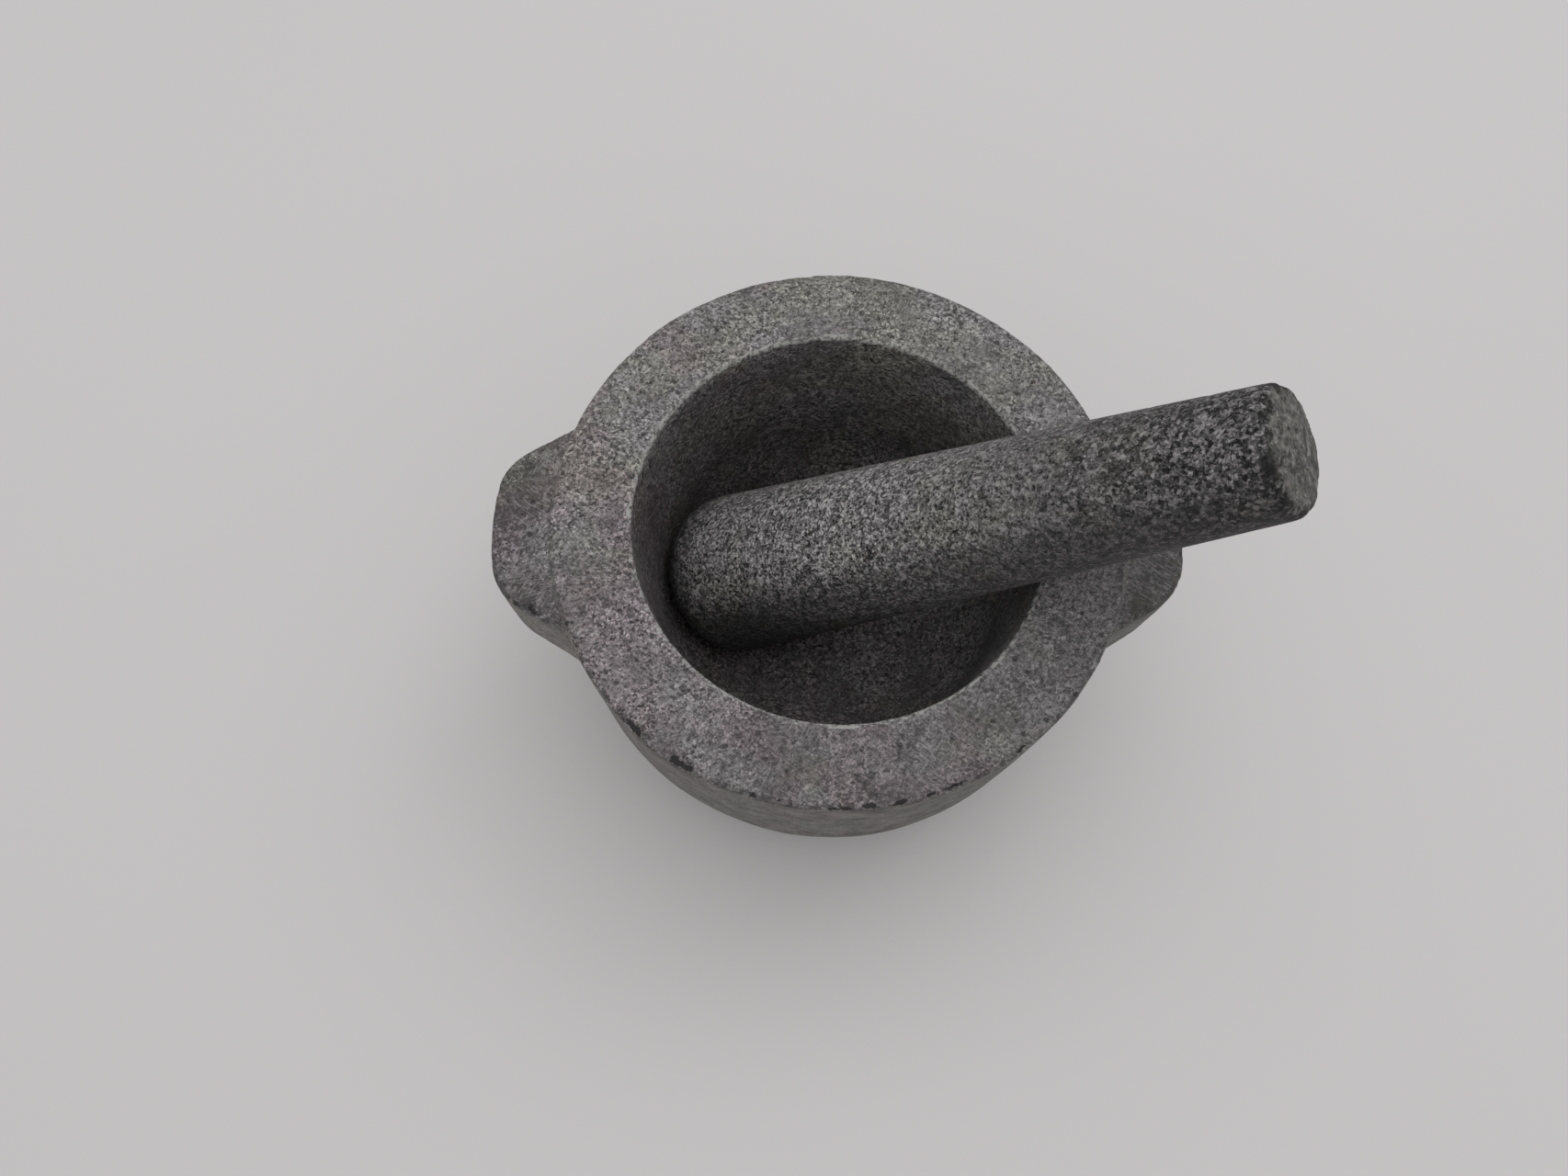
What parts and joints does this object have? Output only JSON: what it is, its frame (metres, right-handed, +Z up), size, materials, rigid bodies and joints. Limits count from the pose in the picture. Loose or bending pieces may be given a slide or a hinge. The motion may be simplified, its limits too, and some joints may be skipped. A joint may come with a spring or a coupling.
{
  "type": "mortar and pestle",
  "caption": "Granite mortar with a deep round bowl and two carved ears, and a loose tapered pestle that leans in it, for crushing spices by hand.",
  "frame": {"origin": "middle of the mortar's flat foot, on the axis that it was turned about", "axes": "+Z up out of the bowl; +X and -X through the two ears, with the pestle leaning out over the +X ear"},
  "size_m": [0.1766, 0.1403, 0.1623],
  "materials": {
    "mortar_granite": "fine salt-and-pepper grey granite, turned and sanded, dull",
    "pestle_granite": "coarser dark grey granite, sanded, worn finer at the head"
  },
  "bodies": {
    "mortar": {"mortar": "mortar_granite"},
    "pestle": {"pestle": "pestle_granite"}
  },
  "joints": [
    {"name": "pestle_lift", "type": "slide", "parent": "mortar", "child": "pestle", "axis": [0, 0, 1], "range_m": [0, 0.12]}
  ]
}
